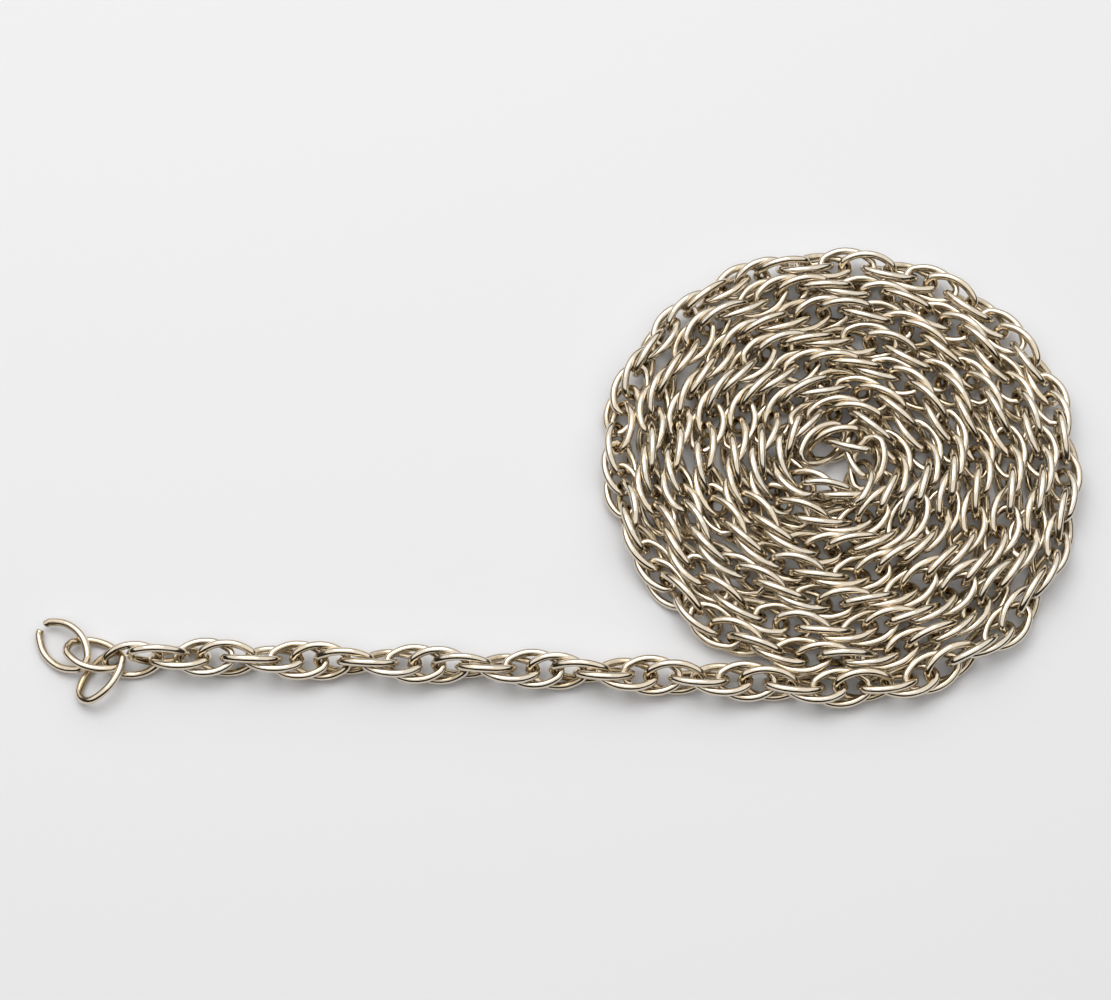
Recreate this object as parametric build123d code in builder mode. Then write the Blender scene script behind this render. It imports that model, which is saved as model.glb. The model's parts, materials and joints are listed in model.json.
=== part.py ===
"""Twisted rope chain of oval wire links, with one end wound into a flat coil.

The chain is a jewellery rope chain. Every link is a closed oval ring of round wire, and each ring
passes through the two rings before it and the two after it. That makes the chain as wide as one
link all along, and twists it: each link leans further round the chain than the one before.

About a hundred millimetres of the chain lie straight, as a tail along -X. The rest is wound
inwards in a flat coil, each turn pressed against the last so that their links nest. The last four
links of the tail are loose: the end ring has been opened and spread.

Lengths are in millimetres. +X runs along the tail towards the coil and +Z is up from the table.
The origin is under the middle of the whole chain's box, on the table.
"""

import os
from math import atan2, cos, degrees, pi, radians, sin, sqrt

import numpy as np
from build123d import *

os.makedirs("parts", exist_ok=True)

# Wire and links
WIRE = 1.15
LINK_LENGTH = 9.15
LINK_WIDTH = 5.95
TIP_RADIUS = 1.6
CUT_GAP = 0.9
CUT_FILLET = 0.18

# How the chain lies
TAIL_LENGTH = 97.3
TAIL_PITCH = 3.4
TAIL_BOW = 0.5
COIL_RADIUS = 35.1
COIL_CORE = 3.0
TURN_SPACING = 4.2
TURN_WOBBLE = 0.3
WOBBLES_PER_RADIAN = 3.3
COIL_PITCH = 3.35
BUNCHING = 1.0

# How the chain twists: distances along the tail, from its first regular link, between which the
# links turn half a circle about the chain, then the same for the coil
HALF_TWISTS = (2.5, 14.4, 31.8, 48.2, 65.8, 79.0, 92.2)
FIRST_LEAN = 121.0
COIL_HALF_TWIST = 13.5
UNEVEN_LEAN = 14.0
UNEVEN_PACE = 2.4
UNEVEN_GROWTH = 1.3
EVENING_OUT = 6

# Clearances between the surfaces of two links
COIL_CLEARANCE = 0.05
TAIL_CLEARANCE = 0.13
ENOUGH_CLEARANCE = 0.02
FREE_LINKS = 36
NEIGHBOURHOOD = 1.5

# Settling the laid chain: how far each turn is raised, how it is lowered, and how hard its links
# are pressed down, drawn home and pushed out of each other
CONE_RISE = 6.0
LOWER_STEPS = 110
PRESS_STEPS = 90
FADE_STEPS = 40
PUSHES_PER_STEP = 2
PRESS_DOWN = 0.02
DRAW_HOME = 0.03
TABLE_PUSH = 0.7
FREE_TOUCHES = 1.3
LEAST_SHARE = 0.45
RELEASE_ROUNDS = 10
PUSHES_PER_ROUND = 12
SAMPLES = 30
FINE_SAMPLES = 120
GYRATION_SQUARED = 7.0

# Links of each sub-part of the coil: how many arcs each turn is divided into, outermost first
ARCS_PER_TURN = (4, 4, 3, 3, 2, 2, 1, 1)

# The four loose links at the tail's end: node name, length, width, tip radius and heel radius of
# the ring; then the place of its middle from the first regular link, its height, the direction
# its tip points in degrees, and how steeply its plane climbs along X and along Y
LOOSE_LINKS = (
    ("end_link_open", (10.15, 6.95, 1.9, 1.9), (-13.4, 1.2, 1.4), -43.0, (0.23, 0.13)),
    ("end_link_spread", (9.35, 6.55, 1.9, 1.9), (-9.1, 0.3, 1.95), -6.0, (-0.17, -0.58)),
    ("end_link_egg", (9.55, 6.35, 2.1, 1.5), (-7.7, -3.4, 2.0), 228.0, (0.51, -0.19)),
    ("end_link_round", (9.15, 5.95, 1.6, 1.6), (-3.5, -0.6, 2.6), 10.0, (0.03, 0.57)),
)
REGULAR = (LINK_LENGTH, LINK_WIDTH, TIP_RADIUS, TIP_RADIUS)


# The ring's shape -------------------------------------------------------------------------------

def oval_arcs(length, width, tip_radius, heel_radius):
    """Centreline of a ring as four tangent arcs: (x, y, radius, start angle, angle turned).

    A small arc forms the tip, another the heel, and one large arc each long side. With unequal
    tip and heel the ring is egg-shaped. Length and width are over the wire.
    """
    tip = (length - WIRE) / 2 - tip_radius
    heel = (length - WIRE) / 2 - heel_radius
    half_width = (width - WIRE) / 2
    tip_slack = half_width - tip_radius
    heel_slack = half_width - heel_radius
    middle = heel_slack * tip + tip_slack * heel
    skew = heel_slack * tip**2 - tip_slack * heel**2
    skew += tip_slack * heel_slack * (heel_slack - tip_slack)
    side_x = skew / (middle + sqrt(middle**2 - (heel_slack - tip_slack) * skew))
    side_y = ((tip - side_x) ** 2 - tip_slack**2) / (2 * tip_slack)
    tip_end = atan2(side_y, tip - side_x)
    heel_end = atan2(side_y, -heel - side_x)
    return (
        (tip, 0.0, tip_radius, -tip_end, 2 * tip_end),
        (side_x, -side_y, half_width + side_y, tip_end, heel_end - tip_end),
        (-heel, 0.0, heel_radius, heel_end, 2 * (pi - heel_end)),
        (side_x, side_y, half_width + side_y, -heel_end, heel_end - tip_end),
    )


def opened(arcs, gap):
    """The same ring cut through at its heel: its arcs run from one cut face round to the other."""
    tip, near_side, heel, far_side = arcs
    x, y, radius, start, turn = heel
    kept = turn / 2 - gap / (2 * radius)
    return (
        (x, y, radius, pi + gap / (2 * radius), kept),
        far_side,
        tip,
        near_side,
        (x, y, radius, start, kept),
    )


def ring_points(arcs, count):
    """Evenly spaced points round the centreline, the wire's direction there, and its length."""
    lengths = [radius * turn for x, y, radius, start, turn in arcs]
    points = []
    directions = []
    for number in range(count):
        along = (number + 0.5) * sum(lengths) / count
        for (x, y, radius, start, turn), length in zip(arcs, lengths):
            if along <= length:
                break
            along -= length
        angle = start + along / radius
        points.append((x + radius * cos(angle), y + radius * sin(angle), 0.0))
        directions.append((-sin(angle), cos(angle), 0.0))
    return np.array(points), np.array(directions), sum(lengths)


# The chain's route and twist --------------------------------------------------------------------

def route(distance):
    """Place, heading and turn number, at a distance along the chain from the coil's start."""
    if distance < 0:
        bow = TAIL_BOW * sin(pi * distance / TAIL_LENGTH)
        return distance, -COIL_RADIUS - bow, 0.0, 0.0
    shrunk = sqrt(COIL_RADIUS**2 - TURN_SPACING * distance / pi)
    heading = (COIL_RADIUS - shrunk) * 2 * pi / TURN_SPACING
    turns = heading / (2 * pi)
    radius = COIL_RADIUS - TURN_SPACING * turns
    radius += TURN_WOBBLE * sin(WOBBLES_PER_RADIAN * heading) * min(1, heading)
    return radius * sin(heading), -radius * cos(heading), heading, turns


def lean_at(distance):
    """How far round the chain a link's plane has turned, in radians, 0 lying flat."""
    stations = [HALF_TWISTS[0] - COIL_HALF_TWIST, *HALF_TWISTS]
    while stations[-1] < distance + TAIL_LENGTH:
        stations.append(stations[-1] + COIL_HALF_TWIST)
    leans = [FIRST_LEAN + 180 * (number - 1) for number in range(len(stations))]
    return radians(np.interp(distance + TAIL_LENGTH, stations, leans))


def frame_of(tip, normal):
    """Axes of a link as columns: towards its tip, across its width, and square to its plane."""
    normal = normal / np.linalg.norm(normal)
    tip = tip - normal * (tip @ normal)
    tip = tip / np.linalg.norm(tip)
    return np.stack([tip, np.cross(normal, tip), normal], 1)


def lay_chain():
    """Every link as laid: its middle, its axes, its turn number and its ring."""
    laid = []
    start_x, start_y, _, _ = route(-TAIL_LENGTH)
    for _, ring, (x, y, height), direction, (climb_x, climb_y) in LOOSE_LINKS:
        tip = np.array([cos(radians(direction)), sin(radians(direction)), 0.0])
        axes = frame_of(tip, np.array([-climb_x, -climb_y, 1.0]))
        laid.append(((start_x + x, start_y + y, height), axes, 0.0, ring))
    distance = -TAIL_LENGTH
    coil_length = (COIL_RADIUS**2 - COIL_CORE**2) * pi / TURN_SPACING
    while distance < coil_length:
        x, y, heading, turns = route(distance)
        lean = lean_at(distance)
        if distance > 0:
            unevenness = min(1, (1 - distance / coil_length) * EVENING_OUT)
            swing = sin(UNEVEN_PACE * len(laid) ** UNEVEN_GROWTH)
            lean += radians(UNEVEN_LEAN) * swing * unevenness
        along = np.array([cos(heading), sin(heading), 0.0])
        side = np.array([-sin(heading), cos(heading), 0.0])
        across = cos(lean) * side + sin(lean) * np.array([0.0, 0.0, 1.0])
        axes = np.stack([along, across, np.cross(along, across)], 1)
        laid.append(((x, y, LINK_WIDTH / 2), axes, turns, REGULAR))
        radius = COIL_RADIUS - TURN_SPACING * turns
        distance += TAIL_PITCH if distance < 0 else COIL_PITCH * (1 - BUNCHING / radius)
    return laid


# Settling: links push each other apart until none is nearer than its clearance ------------------

def turned_by(angles):
    """Rotation matrices for small turns given as vectors."""
    size = np.maximum(np.linalg.norm(angles, axis=1), 1e-12)
    unit = angles / size[:, None]
    cross = np.zeros((len(unit), 3, 3))
    cross[:, 0, 1] = -unit[:, 2]
    cross[:, 0, 2] = unit[:, 1]
    cross[:, 1, 2] = -unit[:, 0]
    cross -= np.swapaxes(cross, 1, 2)
    size = size[:, None, None]
    return np.eye(3) + np.sin(size) * cross + (1 - np.cos(size)) * (cross @ cross)


def nearest(middles, axes, rings, first, second):
    """Nearest approach of the centrelines of pairs of links.

    It gives the distance, the direction from the second link to the first, and the two nearest
    points, each from its own link's middle. The nearest pair of sampled points is refined by
    sliding both along the wire's direction.
    """
    points, directions, reach = rings
    count = points.shape[1]
    spots = points @ np.swapaxes(axes, 1, 2)
    runs = directions @ np.swapaxes(axes, 1, 2)
    offset = (middles[first] - middles[second])[:, None, :]
    side_a = spots[first] + offset
    side_b = spots[second]
    squares = (side_a**2).sum(2)[:, :, None] + (side_b**2).sum(2)[:, None, :]
    squares -= 2 * side_a @ np.swapaxes(side_b, 1, 2)
    best = squares.reshape(len(first), -1).argmin(1)
    pair = np.arange(len(first))
    point_a = side_a[pair, best // count]
    point_b = side_b[pair, best % count]
    run_a = runs[first, best // count]
    run_b = runs[second, best % count]
    apart = point_a - point_b
    match = (run_a * run_b).sum(1)
    slope_a = (apart * run_a).sum(1)
    slope_b = (apart * run_b).sum(1)
    slide_a = (match * slope_b - slope_a) / np.maximum(1 - match**2, 1e-3)
    slide_a = np.clip(slide_a, -reach[first], reach[first])
    slide_b = np.clip(slope_b + slide_a * match, -reach[second], reach[second])
    slide_a = np.clip(slide_b * match - slope_a, -reach[first], reach[first])
    point_a = point_a + slide_a[:, None] * run_a
    point_b = point_b + slide_b[:, None] * run_b
    apart = point_a - point_b
    distance = np.linalg.norm(apart, axis=1)
    direction = apart / np.maximum(distance, 1e-9)[:, None]
    return distance, direction, point_a - offset[:, 0], point_b


def sampled(shapes, count):
    """Points, wire directions and half the point spacing of every link's ring."""
    known = {shape: ring_points(oval_arcs(*shape), count) for shape in set(shapes)}
    points = np.stack([known[shape][0] for shape in shapes])
    directions = np.stack([known[shape][1] for shape in shapes])
    reach = np.array([known[shape][2] / count / 2 for shape in shapes])
    return points, directions, reach


def close_pairs(middles):
    """Pairs of links near enough, seen from above, to touch."""
    spread = np.linalg.norm(middles[:, None, :2] - middles[None, :, :2], axis=2)
    return np.where(np.triu(spread < LINK_LENGTH + NEIGHBOURHOOD, 1))


def push_apart(middles, axes, rings, first, second, wanted):
    """Move and turn each link that is under the table, or nearer to another than wanted.

    Each is moved and turned by its share of the overlap at the point of contact, as free bodies
    of equal weight would be, and less where it is touched in many places.
    """
    up = np.array([0.0, 0.0, 1.0])
    spots = rings[0] @ np.swapaxes(axes, 1, 2)
    arm = spots[np.arange(len(middles)), spots[:, :, 2].argmin(1)]
    sunk = np.maximum(WIRE / 2 - middles[:, 2] - arm[:, 2], 0)
    lever = np.cross(arm, up)
    push = (TABLE_PUSH * sunk / (1 + (lever**2).sum(1) / GYRATION_SQUARED))[:, None]
    shift = push * up
    turn = push * lever / GYRATION_SQUARED
    touches = (sunk > 0).astype(float)
    distance, direction, arm_a, arm_b = nearest(middles, axes, rings, first, second)
    hit = distance < wanted
    link_a, link_b, direction = first[hit], second[hit], direction[hit]
    lever_a = np.cross(arm_a[hit], direction)
    lever_b = np.cross(arm_b[hit], direction)
    weight = 2 + ((lever_a**2).sum(1) + (lever_b**2).sum(1)) / GYRATION_SQUARED
    push = ((wanted - distance)[hit] / weight)[:, None]
    np.add.at(shift, link_a, push * direction)
    np.add.at(shift, link_b, -push * direction)
    np.add.at(turn, link_a, push * lever_a / GYRATION_SQUARED)
    np.add.at(turn, link_b, -push * lever_b / GYRATION_SQUARED)
    np.add.at(touches, link_a, 1)
    np.add.at(touches, link_b, 1)
    share = FREE_TOUCHES / np.maximum(touches, FREE_TOUCHES)
    share = np.maximum(share, LEAST_SHARE)[:, None]
    return middles + share * shift, turned_by(share * turn) @ axes


def smallest_gap(middles, axes, shapes):
    """The smallest clearance between the surfaces of any two links."""
    fine = sampled(shapes, FINE_SAMPLES)
    return nearest(middles, axes, fine, *close_pairs(middles))[0].min() - WIRE


def settle(middles, axes, turns, shapes):
    """Lower the coil, held as a tall cone, onto the table and let its links nest.

    In each step every link sinks a little, is drawn towards its place and is pushed clear of the
    others. The pull fades out, and pushing alone goes on, with more closely sampled rings, until
    every link is clear.
    """
    rings = sampled(shapes, SAMPLES)
    first, second = close_pairs(middles)
    wanted = WIRE + np.where(first < FREE_LINKS, TAIL_CLEARANCE, COIL_CLEARANCE)
    home = middles[:, :2].copy()
    middles = middles.copy()
    middles[:, 2] += CONE_RISE * turns
    for step in range(LOWER_STEPS + PRESS_STEPS):
        if step < LOWER_STEPS:
            middles[:, 2] -= CONE_RISE * turns / LOWER_STEPS
        pull = min(1, (LOWER_STEPS + PRESS_STEPS - step) / FADE_STEPS)
        middles[:, 2] -= PRESS_DOWN * pull
        middles[:, :2] += DRAW_HOME * pull * (home - middles[:, :2])
        for _ in range(PUSHES_PER_STEP):
            middles, axes = push_apart(middles, axes, rings, first, second, wanted)
    rings = sampled(shapes, 2 * SAMPLES)
    for _ in range(RELEASE_ROUNDS):
        for _ in range(PUSHES_PER_ROUND):
            middles, axes = push_apart(middles, axes, rings, first, second, wanted)
        if smallest_gap(middles, axes, shapes) > ENOUGH_CLEARANCE:
            break
    return middles, axes


laid = lay_chain()
shapes = [row[3] for row in laid]
turns = np.array([row[2] for row in laid])
middles, axes = settle(
    np.array([row[0] for row in laid]), np.array([row[1] for row in laid]), turns, shapes
)
print(f"{len(laid)} links in {turns.max():.2f} turns and a tail")
print(f"smallest clearance {smallest_gap(middles, axes, shapes):.3f} mm")

# Put the origin under the middle of the chain's box, with the lowest wire on the table
outline = sampled(shapes, FINE_SAMPLES)[0] @ np.swapaxes(axes, 1, 2) + middles[:, None, :]
low = outline.min((0, 1)) - WIRE / 2
high = outline.max((0, 1)) + WIRE / 2
middles -= np.array([(low[0] + high[0]) / 2, (low[1] + high[1]) / 2, low[2]])
print("box", np.round(high - low, 2))


# The solids -------------------------------------------------------------------------------------

def wire_ring(arcs):
    """Round wire swept along the arcs."""
    with BuildPart() as ring:
        with BuildLine() as centreline:
            for x, y, radius, start, turn in arcs:
                CenterArc((x, y), radius, degrees(start), degrees(turn))
        with BuildSketch(Plane(origin=centreline.line @ 0, z_dir=centreline.line % 0)):
            Circle(WIRE / 2)
        sweep()
    return ring


def cut_wire_ring(arcs):
    """The same wire cut through at the ring's heel, with the edges of both cut faces dressed."""
    ring = wire_ring(opened(arcs, CUT_GAP))
    with BuildPart() as cut_ring:
        add(ring.part)
        cut_faces = cut_ring.faces().filter_by(GeomType.PLANE)
        fillet(cut_faces.edges(), CUT_FILLET)
    return cut_ring


def place_of(number):
    """Where a link lies, as a plane with its tip along X and its width along Y."""
    return Plane(
        origin=tuple(middles[number]),
        x_dir=tuple(axes[number][:, 0]),
        z_dir=tuple(axes[number][:, 2]),
    )


def write(node, name):
    """Label a finished sub-part and write its STEP file."""
    node.part.label = name
    export_step(node.part, f"parts/{name}.step")


# The loose links at the tail's end, the first of them open
for number, (name, ring, _, _, _) in enumerate(LOOSE_LINKS):
    loose_ring = cut_wire_ring(oval_arcs(*ring)) if number == 0 else wire_ring(oval_arcs(*ring))
    with BuildPart() as loose_link:
        with Locations(place_of(number)):
            add(loose_ring.part)
    write(loose_link, name)

# The links of the straight tail, each free to move
regular_ring = wire_ring(oval_arcs(*REGULAR))
tail_end = int((turns == 0).sum())
for number in range(len(LOOSE_LINKS), tail_end):
    with BuildPart() as tail_link:
        with Locations(place_of(number)):
            add(regular_ring.part)
    write(tail_link, f"tail_link_{number - len(LOOSE_LINKS) + 1:02d}")

# The links of the coil, in arcs of each turn
for turn_number, arc_count in enumerate(ARCS_PER_TURN, start=1):
    for arc_number in range(arc_count):
        first_turn = turn_number - 1 + arc_number / arc_count
        last_turn = turn_number - 1 + (arc_number + 1) / arc_count
        in_arc = (turns > first_turn) & (turns <= last_turn)
        with BuildPart() as coil_arc:
            with Locations(*[place_of(number) for number in np.flatnonzero(in_arc)]):
                add(regular_ring.part)
        arc_name = f"_arc_{arc_number + 1}" if arc_count > 1 else ""
        write(coil_arc, f"coil_turn_{turn_number}{arc_name}")
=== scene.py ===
# %% [markdown]
# # A twisted rope chain, partly coiled
#
# A rope chain is nothing but rings of wire. Each ring passes through the two before it and the two
# after it, and each leans a little further round the chain than the last, so the whole looks like
# twisted rope. Here about eleven centimetres of it lie straight, and the rest is wound into a
# flat coil.
#
# The CAD model already says where each ring lies, so this script never places a ring by eye. It
# reads each ring's place from the frame, bends one ring of wire properly, sets a copy of it in
# each place, and spends its effort on the plated metal and on the light that shows it.

import json
from math import atan2, cos, pi, radians, sin, sqrt

import bmesh
import bpy
import numpy as np
from mathutils import Matrix, Vector
from mathutils.bvhtree import BVHTree


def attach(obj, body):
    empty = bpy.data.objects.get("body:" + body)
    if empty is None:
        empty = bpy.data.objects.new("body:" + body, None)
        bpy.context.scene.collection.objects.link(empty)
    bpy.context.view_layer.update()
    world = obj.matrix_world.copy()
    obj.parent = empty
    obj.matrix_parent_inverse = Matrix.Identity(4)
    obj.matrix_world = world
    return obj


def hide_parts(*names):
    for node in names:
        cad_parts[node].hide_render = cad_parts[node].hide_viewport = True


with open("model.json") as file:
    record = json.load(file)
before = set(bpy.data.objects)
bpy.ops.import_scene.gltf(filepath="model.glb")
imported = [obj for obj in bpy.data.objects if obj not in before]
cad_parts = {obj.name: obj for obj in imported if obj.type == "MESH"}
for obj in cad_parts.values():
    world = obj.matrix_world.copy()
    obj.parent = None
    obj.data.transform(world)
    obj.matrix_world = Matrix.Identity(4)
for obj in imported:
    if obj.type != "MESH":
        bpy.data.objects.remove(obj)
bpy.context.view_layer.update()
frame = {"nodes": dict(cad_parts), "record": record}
MM = 0.001

# %% [markdown]
# ## Where each ring lies
#
# A node of the coil holds up to seventeen rings in one mesh of loose triangles. The frame's own
# meshes are left alone. A copy is welded, and the welded copy falls apart into islands, one for
# each ring, which a walk from corner to corner along the edges collects.

# %% Split a node into its rings
WELD = 0.0005 * MM


def rings_of(node):
    """The corners of the triangles of each separate ring in a CAD node."""
    bm = bmesh.new()
    bm.from_mesh(frame["nodes"][node].data)
    bmesh.ops.remove_doubles(bm, verts=bm.verts, dist=WELD)
    bm.verts.index_update()
    seen = set()
    rings = []
    for start in bm.verts:
        if start.index in seen:
            continue
        seen.add(start.index)
        island = [start]
        for vert in island:
            for edge in vert.link_edges:
                other = edge.other_vert(vert)
                if other.index not in seen:
                    seen.add(other.index)
                    island.append(other)
        faces = {face for vert in island for face in vert.link_faces}
        faces = sorted(faces, key=lambda face: face.index)
        rings.append(np.array([[vert.co for vert in face.verts] for face in faces]))
    bm.free()
    return rings


ring_corners = {node: rings_of(node) for node in sorted(frame["nodes"])}
print("rings", sum(len(rings) for rings in ring_corners.values()))

# %% [markdown]
# ## Which way each ring points
#
# How does one find the middle and the directions of a ring that lies at any angle? Treat it as a
# solid body. Its matter is spread widest along its length, less across its width and least square
# to its plane, so its three principal directions are the ring's own axes. The sums run over the
# tetrahedra between each triangle and the centre, so that long and short triangles weigh what
# they should.
#
# Two of the loose rings at the free end aren't the same at both tips: one is egg shaped, and one
# is cut open. Their blunt or whole tip lies nearer the centre of mass, and that tip becomes +X.

# %% Find a ring's middle, axes and size
def place_of(corners):
    """A ring's place as a matrix, with its length along X and its width along Y, and both sizes."""
    a, b, c = corners[:, 0], corners[:, 1], corners[:, 2]
    volumes = (a * np.cross(b, c)).sum(1)
    centre = (volumes[:, None] * (a + b + c)).sum(0) / volumes.sum() / 4
    sides = [a - centre, b - centre, c - centre]
    sides.append(sum(sides))
    spread = sum(np.einsum("t,ti,tj->ij", volumes, side, side) for side in sides)
    axes = np.linalg.eigh(spread / volumes.sum())[1][:, ::-1]
    if np.linalg.det(axes) < 0:
        axes[:, 2] = -axes[:, 2]
    local = (corners.reshape(-1, 3) - centre) @ axes
    if local[:, 0].max() > -local[:, 0].min():
        axes[:, :2] = -axes[:, :2]
        local[:, :2] = -local[:, :2]
    low, high = local.min(0), local.max(0)
    middle = centre + axes @ (low + high) / 2
    matrix = Matrix.Translation(middle) @ Matrix(axes.tolist()).to_4x4()
    return matrix, high[0] - low[0], high[1] - low[1]


ring_places = {}
for node, rings in ring_corners.items():
    ring_places[node] = [place_of(corners) for corners in rings]
sizes = np.array([place[1:] for places in ring_places.values() for place in places]) / MM
print("median length and width in mm", np.median(sizes, axis=0).round(2))

# %% [markdown]
# ## The line of one ring
#
# A chain machine cuts a length of wire and bends it round a former until its two ends meet. The
# line down the middle of the wire is four arcs that flow into each other: two tight ones at the
# tips and two long ones at the sides. Where two arcs meet, their centres and the meeting point
# lie on one straight line, and that alone fixes the centre and the radius of a side arc.

# %% The four arcs of a ring
WIRE = 1.15 * MM
REGULAR_SHAPE = (9.15 * MM, 5.95 * MM, 1.6 * MM, 1.6 * MM)
LOOSE_SHAPES = {
    "end_link_open": (10.15 * MM, 6.95 * MM, 1.9 * MM, 1.9 * MM),
    "end_link_spread": (9.35 * MM, 6.55 * MM, 1.9 * MM, 1.9 * MM),
    "end_link_egg": (9.55 * MM, 6.35 * MM, 2.1 * MM, 1.5 * MM),
}
HEEL_STEPS, SIDE_STEPS, TIP_STEPS = 2, 5, 4


def ring_bends(length, width, tip_radius, heel_radius, gap):
    """Centre, radius, turn and steps of each bend, from one wire end round to the other."""
    tip = (length - WIRE) / 2 - tip_radius
    heel = (length - WIRE) / 2 - heel_radius
    half_width = (width - WIRE) / 2
    tip_slack, heel_slack = half_width - tip_radius, half_width - heel_radius
    unevenness = heel_slack - tip_slack
    middle = heel_slack * tip + tip_slack * heel
    skew = heel_slack * tip**2 - tip_slack * heel**2 + tip_slack * heel_slack * unevenness
    side_x = skew / (middle + sqrt(middle**2 - unevenness * skew))
    side_y = ((tip - side_x) ** 2 - tip_slack**2) / (2 * tip_slack)
    tip_end = atan2(side_y, tip - side_x)
    heel_end = atan2(side_y, -heel - side_x)
    heel_bend = ((-heel, 0), heel_radius, pi - heel_end - gap / (2 * heel_radius), HEEL_STEPS)
    tip_bend = ((tip, 0), tip_radius, 2 * tip_end, TIP_STEPS)
    side_radius, side_turn = half_width + side_y, heel_end - tip_end
    lower_side = ((side_x, side_y), side_radius, side_turn, SIDE_STEPS)
    upper_side = ((side_x, -side_y), side_radius, side_turn, SIDE_STEPS)
    return heel_bend, lower_side, tip_bend, upper_side, heel_bend


wire_length = sum(radius * turn for _, radius, turn, _ in ring_bends(*REGULAR_SHAPE, 0))
print("wire in one ring in mm", round(wire_length / MM, 2))

# %% [markdown]
# ## Bending the wire
#
# A ring could start as a torus and be squashed to an oval, but that squashes the wire as well.
# Spinning does what the machine does: the wire's section is carried round the centre of each bend
# in turn, so the wire stays round all the way.
#
# The chain holds hundreds of rings, so this cage is as coarse as it can be: five corners round
# the wire and eighteen steps along it. A Subdivision Surface will round it. Each round of
# subdivision pulls the surface in from its cage, so the section starts larger than the wire by a
# known share. The share is the one at the corners, where the surface stands furthest out, so the
# smoothed wire is nowhere thicker than the real one. Later the steps move outwards until the
# smoothed wire lies on its true line.
#
# On the way, each corner writes down where it was in the straight wire, before any bend: how far
# to the outside of the bend, how far to the side, and how far along. The finish needs those
# three numbers, because the lines that a drawing die leaves follow the wire round every bend.

# %% Spin the section along the arcs
SECTION_CORNERS = 5
CORNER_TURN = 2 * pi / SECTION_CORNERS
SHRINK_AT_CORNER = (2 + cos(CORNER_TURN)) / 3
CAGE_RADIUS = WIRE / 2 / SHRINK_AT_CORNER


def spin_wire(bm, bends):
    """Bend the wire through its arcs, and return the loop of edges at each step."""
    straight = bm.verts.layers.float_vector.new("straight_wire")
    bmesh.ops.create_circle(bm, cap_ends=False, radius=CAGE_RADIUS, segments=SECTION_CORNERS)
    for vert in bm.verts:
        vert[straight] = vert.co
    (heel_x, _), heel_radius, _, _ = bends[0]
    start = sum(turn for _, _, turn, _ in bends) / 2
    outward = Vector((cos(start), -sin(start), 0))
    forward = Vector((sin(start), cos(start), 0))
    upright = Matrix((outward, Vector((0, 0, -1)), forward)).transposed()
    bmesh.ops.rotate(bm, verts=bm.verts, cent=(0, 0, 0), matrix=upright)
    first = Vector((heel_x, 0, 0)) + outward * heel_radius
    bmesh.ops.translate(bm, verts=bm.verts, vec=first)
    steps = [list(bm.edges)]
    along = 0.0
    for (x, y), radius, turn, count in bends:
        for _ in range(count):
            spun = bmesh.ops.spin(
                bm, geom=steps[-1], cent=(x, y, 0), axis=(0, 0, 1), angle=turn / count, steps=1
            )
            last = spun["geom_last"]
            steps.append([item for item in last if isinstance(item, bmesh.types.BMEdge)])
            along += radius * turn / count
            for vert in {vert for edge in steps[-1] for vert in edge.verts}:
                vert[straight] = (*vert[straight][:2], along)
    return steps


# %% Move the steps outwards until the smoothed wire is on its line
ROUNDS = 12


def meet_the_line(bm, steps):
    """Shift each step but the two ends, so that smoothing brings it back to where it is now."""
    loops = [list({vert for edge in step for vert in edge.verts}) for step in steps]
    wanted = np.array([np.mean([vert.co for vert in loop], axis=0) for loop in loops])
    cage = wanted.copy()
    for _ in range(ROUNDS):
        smoothed = (cage[:-2] + 4 * cage[1:-1] + cage[2:]) / 6
        cage[1:-1] += wanted[1:-1] - smoothed
    for loop, shift in zip(loops, cage - wanted):
        bmesh.ops.translate(bm, verts=loop, vec=shift)


# %% [markdown]
# ## The two ends of the wire
#
# The ends of a closed ring are cut square and meet in a seam no wider than a hair. A crease keeps
# their rims sharp, where extra loops of faces would have to be paid for hundreds of times.
#
# The last ring was cut open with side cutters, which leave a wire end squeezed to a blunt edge.
# There each cap is pushed outwards and pressed flat, and a small bevel takes its sharp rim away.

# %% Bend and finish a ring
SEAM = 0.03 * MM
OPEN_GAP = 0.9 * MM
CUTTER_REACH = 0.12 * MM
CUTTER_ANGLE = radians(35)
CUTTER_SQUEEZE = 0.45
CUT_BEVEL = 0.06 * MM


def squeeze_end(bm, cap):
    """Press one wire end to the blunt edge that side cutters leave."""
    middle = cap.calc_center_median()
    pressed = cap.normal.orthogonal()
    pressed.rotate(Matrix.Rotation(CUTTER_ANGLE, 3, cap.normal))
    turned = pressed.rotation_difference(Vector((1, 0, 0))).to_matrix().to_4x4()
    space = turned @ Matrix.Translation(-middle)
    face = bmesh.ops.extrude_discrete_faces(bm, faces=[cap])["faces"][0]
    bmesh.ops.translate(bm, verts=face.verts, vec=face.normal * CUTTER_REACH)
    bmesh.ops.scale(bm, verts=face.verts, vec=(CUTTER_SQUEEZE, 1, 1), space=space)
    bmesh.ops.bevel(
        bm, geom=list(face.edges), offset=CUT_BEVEL, offset_type="OFFSET", segments=1,
        profile=0.5, affect="EDGES", material=-1,
    )


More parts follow.
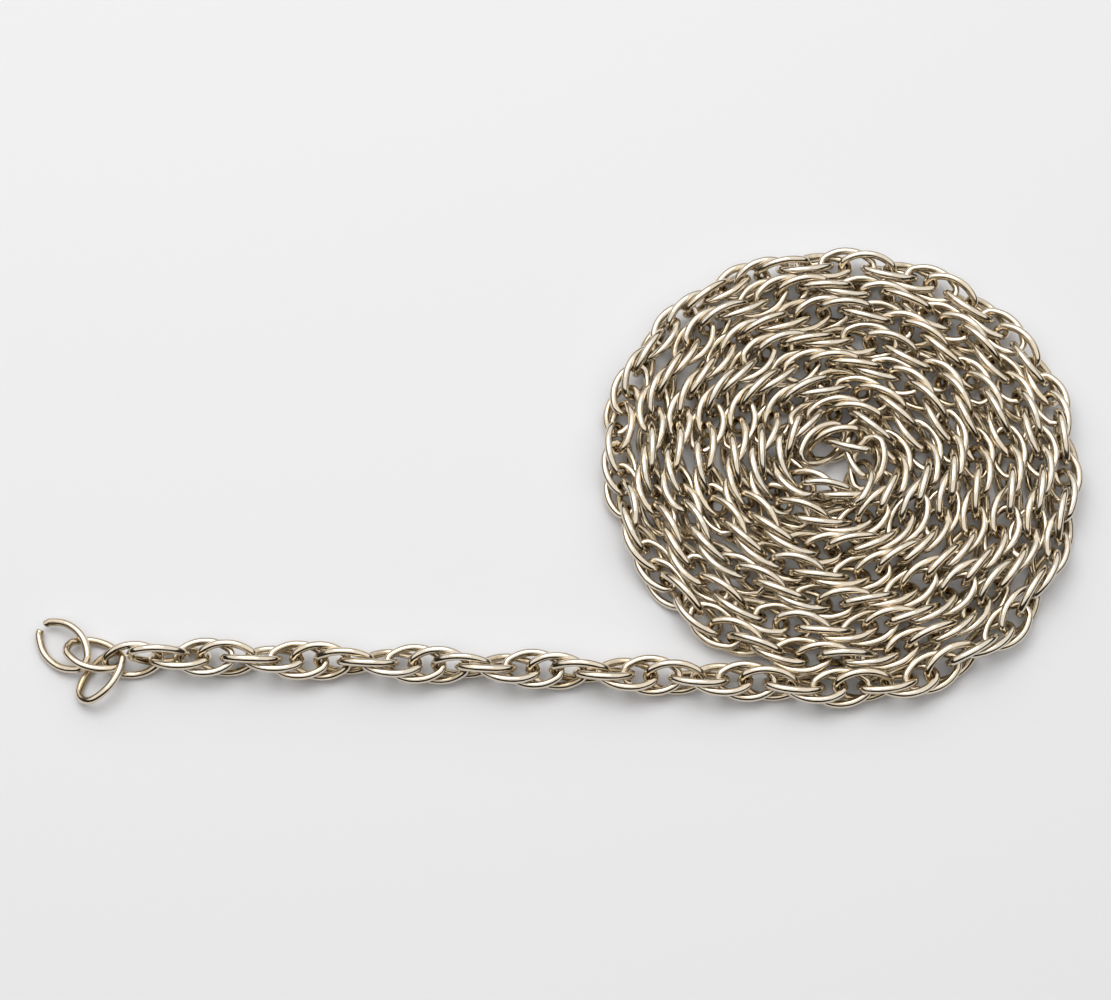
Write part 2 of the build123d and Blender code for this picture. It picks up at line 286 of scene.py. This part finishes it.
def bent_ring(name, shape, is_open=False):
    """A ring of wire as a coarse cage, in its own plane, with its ends at the heel."""
    gap = OPEN_GAP + 2 * CUTTER_REACH if is_open else SEAM
    bm = bmesh.new()
    crease = bm.edges.layers.float.new("crease_edge")
    steps = spin_wire(bm, ring_bends(*shape, gap))
    meet_the_line(bm, steps)
    caps = [bmesh.ops.edgeloop_fill(bm, edges=rim)["faces"][0] for rim in (steps[0], steps[-1])]
    bmesh.ops.recalc_face_normals(bm, faces=bm.faces)
    if is_open:
        for cap in caps:
            squeeze_end(bm, cap)
        bmesh.ops.recalc_face_normals(bm, faces=bm.faces)
    else:
        for edge in steps[0] + steps[-1]:
            edge[crease] = 1.0
            edge.smooth = False
    for face in bm.faces:
        face.smooth = True
    mesh = bpy.data.meshes.new(name)
    bm.to_mesh(mesh)
    bm.free()
    return mesh


regular_ring = bent_ring("regular_ring", REGULAR_SHAPE)
loose_rings = {
    node: bent_ring(node + "_cage", shape, node == "end_link_open")
    for node, shape in LOOSE_SHAPES.items()
}
print("faces in a regular cage", len(regular_ring.polygons))
print("faces in the open ring's cage", len(loose_rings["end_link_open"].polygons))

# %% [markdown]
# ## Laying the rings
#
# Each node of the frame gets one piece: its rings, each set in its own place. No two rings came
# off the machine and through the plating bath the same, so each also carries a number between
# zero and one, its tone, which the finish uses to tint it and to keep its marks from repeating.

# %% Lay the rings of one node
RINGS_SEED = 1862
dice = np.random.default_rng(RINGS_SEED)
SMOOTHING = 2


def lay_rings(node):
    """One piece that stands for a node, with a ring of wire in each of the node's places."""
    cage = loose_rings.get(node, regular_ring)
    bm = bmesh.new()
    for matrix, _, _ in ring_places[node]:
        laid = len(bm.verts)
        bm.from_mesh(cage)
        bm.verts.ensure_lookup_table()
        bmesh.ops.transform(bm, matrix=matrix, verts=bm.verts[laid:])
    mesh = bpy.data.meshes.new(node + "_rings")
    bm.to_mesh(mesh)
    bm.free()
    tones = dice.random(len(ring_places[node]))
    tone = mesh.attributes.new("tone", "FLOAT", "POINT")
    tone.data.foreach_set("value", np.repeat(tones, len(cage.vertices)).astype(np.float32))
    piece = bpy.data.objects.new(node + "_rings", mesh)
    bpy.context.scene.collection.objects.link(piece)
    smoothing = piece.modifiers.new("smoothed", "SUBSURF")
    smoothing.levels = SMOOTHING
    smoothing.render_levels = SMOOTHING
    shading = piece.modifiers.new("even shading", "WEIGHTED_NORMAL")
    shading.keep_sharp = True
    return piece


# %% Every piece takes its node's place and body
body_of_node = {}
for body, nodes in frame["record"]["behaviour"]["bodies"].items():
    for node in nodes:
        body_of_node[node] = body

pieces = {}
for node in sorted(frame["nodes"]):
    piece = lay_rings(node)
    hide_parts(node)
    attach(piece, body_of_node[node])
    pieces[node] = piece
print("pieces", len(pieces), "rings", sum(len(places) for places in ring_places.values()))

# %% [markdown]
# ## Does the wire lie where the CAD has it?
#
# Two different tools made the two rings, so they are measured against each other: how far from
# the CAD's surface is each point of the smoothed wire? A mean much over a twentieth of the
# wire's thickness would show as rings that touch or miss where they shouldn't. The largest
# distance says less. The CAD's closed rings have no seam, so the middle of a wire end in the seam
# is about half a wire from their surface, and on the open ring it's the pressed ends that differ.

# %% Measure a few pieces against the CAD
depsgraph = bpy.context.evaluated_depsgraph_get()
for node in ("end_link_open", "end_link_egg", "tail_link_12", "coil_turn_4_arc_2"):
    cad = frame["nodes"][node].data
    cad_corners = [vert.co for vert in cad.vertices]
    surface = BVHTree.FromPolygons(cad_corners, [face.vertices[:] for face in cad.polygons])
    smoothed = pieces[node].evaluated_get(depsgraph).data
    misses = [surface.find_nearest(vert.co)[3] / MM for vert in smoothed.vertices]
    print(node, "mean and largest distance in mm", round(np.mean(misses), 3), round(max(misses), 3))

# %% [markdown]
# ## Plated nickel
#
# The rings are steel wire with a bright nickel plate. Nickel isn't a neutral mirror: it throws
# back more red than blue, which is why it looks faintly like champagne beside chrome. Its
# roughness is low, because the plate levels itself, but not zero, because hundreds of rings have
# rubbed against each other.
#
# What breaks up the mirror? Four things, and each gets a group of nodes:
#
# - the lines that the drawing die left, which run along the wire and round every bend;
# - shallow waves in the plate, a few tenths of a millimetre across;
# - a brownish painted shade on the inner side of the bend, where the rings lie in each other's
#   shade, with a little film where no cloth reaches;
# - the small difference between one ring and the next.
#
# The first and third follow the wire, so they read the straight-wire numbers and not the ring's
# place in the room. A pattern that depends on the tone as well never repeats from ring to ring.
# The four loose rings at the end have been handled more, so the same function makes them a
# duller finish of their own.

# %% The nickel finish
DIE_LINES_ACROSS = 9000.0
DIE_LINES_ALONG = 260.0
DIE_LINE_HEIGHT = 0.008 * MM
DIE_LINE_STRENGTH = 0.35
TONE_SPREAD = 40.0
WAVES_PER_METRE = 900.0
RUBS_PER_METRE = 420.0
RUBS_FROM, RUBS_TO = 0.35, 0.7
# The painted shade on the inner side of the bend, with a little film: where it starts, where it is
# full, and how patchy it is.
SHADE_AND_FILM_STARTS, SHADE_AND_FILM_FULL = 0.3 * MM, -0.6 * MM
SHADE_AND_FILM_PATCHES_FROM, SHADE_AND_FILM_PATCHES_TO = 0.3, 0.6
WARMER_TINT = (1.0, 0.975, 0.93)
COOLER_TINT = (0.95, 0.965, 0.985)


def nickel(name, bright, film_and_shade, film_and_shade_share, smooth, rough, wave_depth):
    """Plated nickel wire: its own colour, the colour of the painted shade and film inside the bend,
    and how worn it is.
    """
    material = bpy.data.materials.new(name)
    material.use_nodes = True
    nodes = material.node_tree.nodes
    links = material.node_tree.links
    nodes.clear()

    wire = nodes.new("NodeFrame")
    wire.label = "Where on the wire"
    place = nodes.new("ShaderNodeAttribute")
    place.label = "Place in the straight wire"
    place.location = (-1500, 300)
    place.parent = wire
    place.attribute_name = "straight_wire"
    split = nodes.new("ShaderNodeSeparateXYZ")
    split.label = "Outwards, sideways, along"
    split.location = (-1300, 300)
    split.parent = wire
    tone = nodes.new("ShaderNodeAttribute")
    tone.label = "The ring's own number"
    tone.location = (-1500, 60)
    tone.parent = wire
    tone.attribute_name = "tone"
    drift = nodes.new("ShaderNodeMath")
    drift.label = "A pattern of its own"
    drift.location = (-1300, 60)
    drift.parent = wire
    drift.operation = "MULTIPLY"
    drift.inputs[1].default_value = TONE_SPREAD
    links.new(place.outputs["Vector"], split.inputs["Vector"])
    links.new(tone.outputs["Fac"], drift.inputs[0])

    drawing = nodes.new("NodeFrame")
    drawing.label = "Lines of the drawing die"
    stretch = nodes.new("ShaderNodeMapping")
    stretch.label = "Long and thin along the wire"
    stretch.location = (-1000, 500)
    stretch.parent = drawing
    stretch.inputs["Scale"].default_value = (DIE_LINES_ACROSS, DIE_LINES_ACROSS, DIE_LINES_ALONG)
    die_lines = nodes.new("ShaderNodeTexNoise")
    die_lines.label = "Die lines"
    die_lines.location = (-800, 500)
    die_lines.parent = drawing
    die_lines.noise_dimensions = "4D"
    die_lines.inputs["Scale"].default_value = 1.0
    die_lines.inputs["Detail"].default_value = 3.0
    die_lines.inputs["Roughness"].default_value = 0.6
    die_bump = nodes.new("ShaderNodeBump")
    die_bump.label = "Die lines stand proud"
    die_bump.location = (-300, 500)
    die_bump.parent = drawing
    die_bump.inputs["Strength"].default_value = DIE_LINE_STRENGTH
    die_bump.inputs["Distance"].default_value = DIE_LINE_HEIGHT
    links.new(place.outputs["Vector"], stretch.inputs["Vector"])
    links.new(stretch.outputs["Vector"], die_lines.inputs["Vector"])
    links.new(drift.outputs["Value"], die_lines.inputs["W"])
    links.new(die_lines.outputs["Fac"], die_bump.inputs["Height"])

    plate = nodes.new("NodeFrame")
    plate.label = "Waves and wear in the plate"
    room = nodes.new("ShaderNodeTexCoord")
    room.label = "Place on the chain"
    room.location = (-1000, -50)
    room.parent = plate
    waves = nodes.new("ShaderNodeTexNoise")
    waves.label = "Shallow waves"
    waves.location = (-800, 100)
    waves.parent = plate
    waves.inputs["Scale"].default_value = WAVES_PER_METRE
    waves.inputs["Detail"].default_value = 1.0
    wave_bump = nodes.new("ShaderNodeBump")
    wave_bump.label = "The plate isn't quite flat"
    wave_bump.location = (-100, 200)
    wave_bump.parent = plate
    wave_bump.inputs["Strength"].default_value = 1.0
    wave_bump.inputs["Distance"].default_value = wave_depth
    rubs = nodes.new("ShaderNodeTexNoise")
    rubs.label = "Rubbed patches"
    rubs.location = (-800, -150)
    rubs.parent = plate
    rubs.noise_dimensions = "4D"
    rubs.inputs["Scale"].default_value = RUBS_PER_METRE
    rubs.inputs["Detail"].default_value = 4.0
    rubs.inputs["Roughness"].default_value = 0.65
    gloss = nodes.new("ShaderNodeMapRange")
    gloss.label = "Rubbed patches are duller"
    gloss.location = (-300, -100)
    gloss.parent = plate
    gloss.inputs["From Min"].default_value = RUBS_FROM
    gloss.inputs["From Max"].default_value = RUBS_TO
    gloss.inputs["To Min"].default_value = smooth
    gloss.inputs["To Max"].default_value = rough
    links.new(room.outputs["Object"], waves.inputs["Vector"])
    links.new(waves.outputs["Fac"], wave_bump.inputs["Height"])
    links.new(die_bump.outputs["Normal"], wave_bump.inputs["Normal"])
    links.new(room.outputs["Object"], rubs.inputs["Vector"])
    links.new(drift.outputs["Value"], rubs.inputs["W"])
    links.new(rubs.outputs["Fac"], gloss.inputs["Value"])

    # Painted shade: the colour turns brown on the inner side of each bend, standing in for the
    # shade where the rings pass through each other, with a little film as well.
    shade_and_film_frame = nodes.new("NodeFrame")
    shade_and_film_frame.label = "Painted shade and brownish film inside the bend"
    inner = nodes.new("ShaderNodeMapRange")
    inner.label = "The inner side of the bend"
    inner.location = (-1000, -400)
    inner.parent = shade_and_film_frame
    inner.interpolation_type = "SMOOTHSTEP"
    inner.inputs["From Min"].default_value = SHADE_AND_FILM_STARTS
    inner.inputs["From Max"].default_value = SHADE_AND_FILM_FULL
    inner.inputs["To Min"].default_value = 0.0
    inner.inputs["To Max"].default_value = film_and_shade_share
    patchy = nodes.new("ShaderNodeMapRange")
    patchy.label = "The painted shade and film are patchy"
    patchy.location = (-800, -550)
    patchy.parent = shade_and_film_frame
    patchy.inputs["From Min"].default_value = SHADE_AND_FILM_PATCHES_FROM
    patchy.inputs["From Max"].default_value = SHADE_AND_FILM_PATCHES_TO
    shade_and_film_here = nodes.new("ShaderNodeMath")
    shade_and_film_here.label = "How much painted shade and film is here"
    shade_and_film_here.location = (-550, -450)
    shade_and_film_here.parent = shade_and_film_frame
    shade_and_film_here.operation = "MULTIPLY"
    links.new(split.outputs["X"], inner.inputs["Value"])
    links.new(rubs.outputs["Fac"], patchy.inputs["Value"])
    links.new(inner.outputs["Result"], shade_and_film_here.inputs[0])
    links.new(patchy.outputs["Result"], shade_and_film_here.inputs[1])

    colour = nodes.new("NodeFrame")
    colour.label = "Colour of the nickel"
    per_ring = nodes.new("ShaderNodeValToRGB")
    per_ring.label = "One ring is warmer than the next"
    per_ring.location = (-550, 900)
    per_ring.parent = colour
    warmer = [share * tint for share, tint in zip(bright, WARMER_TINT)]
    cooler = [share * tint for share, tint in zip(bright, COOLER_TINT)]
    per_ring.color_ramp.elements[0].color = (*warmer, 1)
    per_ring.color_ramp.elements[1].color = (*cooler, 1)
    # Painted shade, with a little film, darkens the nickel's colour on the inner side of the bend.
    shaded_and_filmed = nodes.new("ShaderNodeMix")
    shaded_and_filmed.label = "Painted shade and film over nickel"
    shaded_and_filmed.location = (-200, 800)
    shaded_and_filmed.parent = colour
    shaded_and_filmed.data_type = "RGBA"
    shaded_and_filmed.inputs["B"].default_value = (*film_and_shade, 1)
    links.new(tone.outputs["Fac"], per_ring.inputs["Fac"])
    links.new(per_ring.outputs["Color"], shaded_and_filmed.inputs["A"])
    links.new(shade_and_film_here.outputs["Value"], shaded_and_filmed.inputs["Factor"])

    surface = nodes.new("ShaderNodeBsdfPrincipled")
    surface.label = "Nickel plate"
    surface.location = (200, 300)
    surface.inputs["Metallic"].default_value = 1.0
    output = nodes.new("ShaderNodeOutputMaterial")
    output.label = "Finished wire"
    output.location = (500, 300)
    links.new(shaded_and_filmed.outputs["Result"], surface.inputs["Base Color"])
    links.new(gloss.outputs["Result"], surface.inputs["Roughness"])
    links.new(wave_bump.outputs["Normal"], surface.inputs["Normal"])
    links.new(surface.outputs["BSDF"], output.inputs["Surface"])
    return material


# %% Two finishes of one make-up
# In both finishes the brownish colour and its share paint the shade inside the bend, with a little
# film.
plated = nickel(
    "nickel_plate",
    bright=(0.76, 0.68, 0.56),
    film_and_shade=(0.36, 0.27, 0.14),
    film_and_shade_share=0.85,
    smooth=0.08,
    rough=0.20,
    wave_depth=0.02 * MM,
)
handled = nickel(
    "handled_nickel",
    bright=(0.76, 0.67, 0.545),
    film_and_shade=(0.34, 0.255, 0.13),
    film_and_shade_share=0.9,
    smooth=0.10,
    rough=0.24,
    wave_depth=0.03 * MM,
)
for node, piece in pieces.items():
    piece.data.materials.append(handled if node.startswith("end_link") else plated)
print("nodes in one finish", len(plated.node_tree.nodes))

# %% [markdown]
# ## The table
#
# The chain lies on a sheet of pale paper. A bare plane of one colour looks like nothing at all, so
# the sheet has the faint tooth that paper has, too shallow to draw the eye from the chain. The
# sheet isn't attached to any body of the chain.

# %% A sheet of pale paper
PAPER_SIDE = 3.0
PAPER_COLOUR = (0.745, 0.75, 0.768)
TOOTH_PER_METRE = 500.0
TOOTH_HEIGHT = 0.05 * MM


def paper():
    """Pale matt paper with a faint tooth."""
    material = bpy.data.materials.new("pale_paper")
    material.use_nodes = True
    nodes = material.node_tree.nodes
    links = material.node_tree.links
    nodes.clear()
    place = nodes.new("ShaderNodeTexCoord")
    place.label = "Place on the sheet"
    place.location = (-800, 0)
    tooth = nodes.new("ShaderNodeTexNoise")
    tooth.label = "Tooth of the paper"
    tooth.location = (-600, 0)
    tooth.inputs["Scale"].default_value = TOOTH_PER_METRE
    tooth.inputs["Detail"].default_value = 4.0
    raised = nodes.new("ShaderNodeBump")
    raised.label = "Faint relief"
    raised.location = (-350, -100)
    raised.inputs["Strength"].default_value = 0.25
    raised.inputs["Distance"].default_value = TOOTH_HEIGHT
    surface = nodes.new("ShaderNodeBsdfPrincipled")
    surface.label = "Matt paper"
    surface.location = (-100, 0)
    surface.inputs["Base Color"].default_value = (*PAPER_COLOUR, 1)
    surface.inputs["Roughness"].default_value = 0.75
    output = nodes.new("ShaderNodeOutputMaterial")
    output.label = "Sheet"
    output.location = (200, 0)
    links.new(place.outputs["Object"], tooth.inputs["Vector"])
    links.new(tooth.outputs["Fac"], raised.inputs["Height"])
    links.new(raised.outputs["Normal"], surface.inputs["Normal"])
    links.new(surface.outputs["BSDF"], output.inputs["Surface"])
    return material


bm = bmesh.new()
bmesh.ops.create_grid(bm, x_segments=1, y_segments=1, size=PAPER_SIDE / 2)
sheet_mesh = bpy.data.meshes.new("paper_sheet")
bm.to_mesh(sheet_mesh)
bm.free()
sheet_mesh.materials.append(paper())
sheet = bpy.data.objects.new("paper_sheet", sheet_mesh)
bpy.context.scene.collection.objects.link(sheet)
print("sheet in mm", [round(side / MM) for side in sheet.dimensions[:2]])

# %% [markdown]
# ## Light for a mirror
#
# A polished wire shows no colour of its own. It shows what stands around it, squeezed into
# a thin picture along its length: the lamp near its crest, the room on its flanks and the pale
# sheet along its lower edge. So the light is set up for what it looks like and not only for how
# bright it is. A broad soft ceiling, a little to the back, lies as a wide pale band along each
# wire. A smaller and brighter window inside it draws the glint. The room is left almost dark, and
# that is what the thin dark line between the band and the sheet's own picture is made of.

# %% Lamps and room
def soft_lamp(name, place, width, depth, power, colour):
    """A rectangular lamp that faces the middle of the chain."""
    light = bpy.data.lights.new(name, "AREA")
    light.shape = "RECTANGLE"
    light.size = width
    light.size_y = depth
    light.energy = power
    light.color = colour
    lamp = bpy.data.objects.new(name, light)
    lamp.location = place
    lamp.rotation_euler = (-Vector(place)).to_track_quat("-Z", "Y").to_euler()
    bpy.context.scene.collection.objects.link(lamp)


DAYLIGHT = (1.0, 0.995, 0.99)
ROOM_COLOUR = (0.026, 0.021, 0.013)
soft_lamp("ceiling", (0.0, 0.2, 0.68), width=2.4, depth=2.1, power=16.5, colour=DAYLIGHT)
soft_lamp("window", (-0.12, 0.22, 0.62), width=0.55, depth=0.45, power=1.9, colour=DAYLIGHT)

world = bpy.data.worlds.new("dim_room")
world.use_nodes = True
room_light = world.node_tree.nodes["Background"]
room_light.inputs["Color"].default_value = (*ROOM_COLOUR, 1)
room_light.inputs["Strength"].default_value = 1.0
bpy.context.scene.world = world
bpy.context.scene.view_settings.view_transform = "Standard"
print("lamps", [light.name for light in bpy.data.lights])

# %% [markdown]
# ## The viewing angle
#
# The chain lies flat, and it is looked at from well above: between sixty and seventy degrees
# over the table, and almost square to the straight run. From there the turns of the coil are
# still circles, slightly squashed, and the rings still show their depth.

# %% Camera
VIEW_ELEVATION = radians(66.5)
VIEW_TURN = radians(2.7)
VIEW_DISTANCE = 0.388
LOOKED_AT = Vector((-0.0017, -0.0036, 0.0))
LENS_LENGTH, SENSOR_WIDTH = 85, 36

lens = bpy.data.cameras.new("camera")
lens.lens = LENS_LENGTH
lens.sensor_width = SENSOR_WIDTH
camera = bpy.data.objects.new("camera", lens)
towards = Vector((sin(VIEW_TURN), -cos(VIEW_TURN), 0)) * cos(VIEW_ELEVATION)
towards.z = sin(VIEW_ELEVATION)
camera.location = LOOKED_AT + towards * VIEW_DISTANCE
camera.rotation_euler = (-towards).to_track_quat("-Z", "Y").to_euler()
bpy.context.scene.collection.objects.link(camera)
bpy.context.scene.camera = camera
print("camera stands at, in mm", [round(value / MM) for value in camera.location])
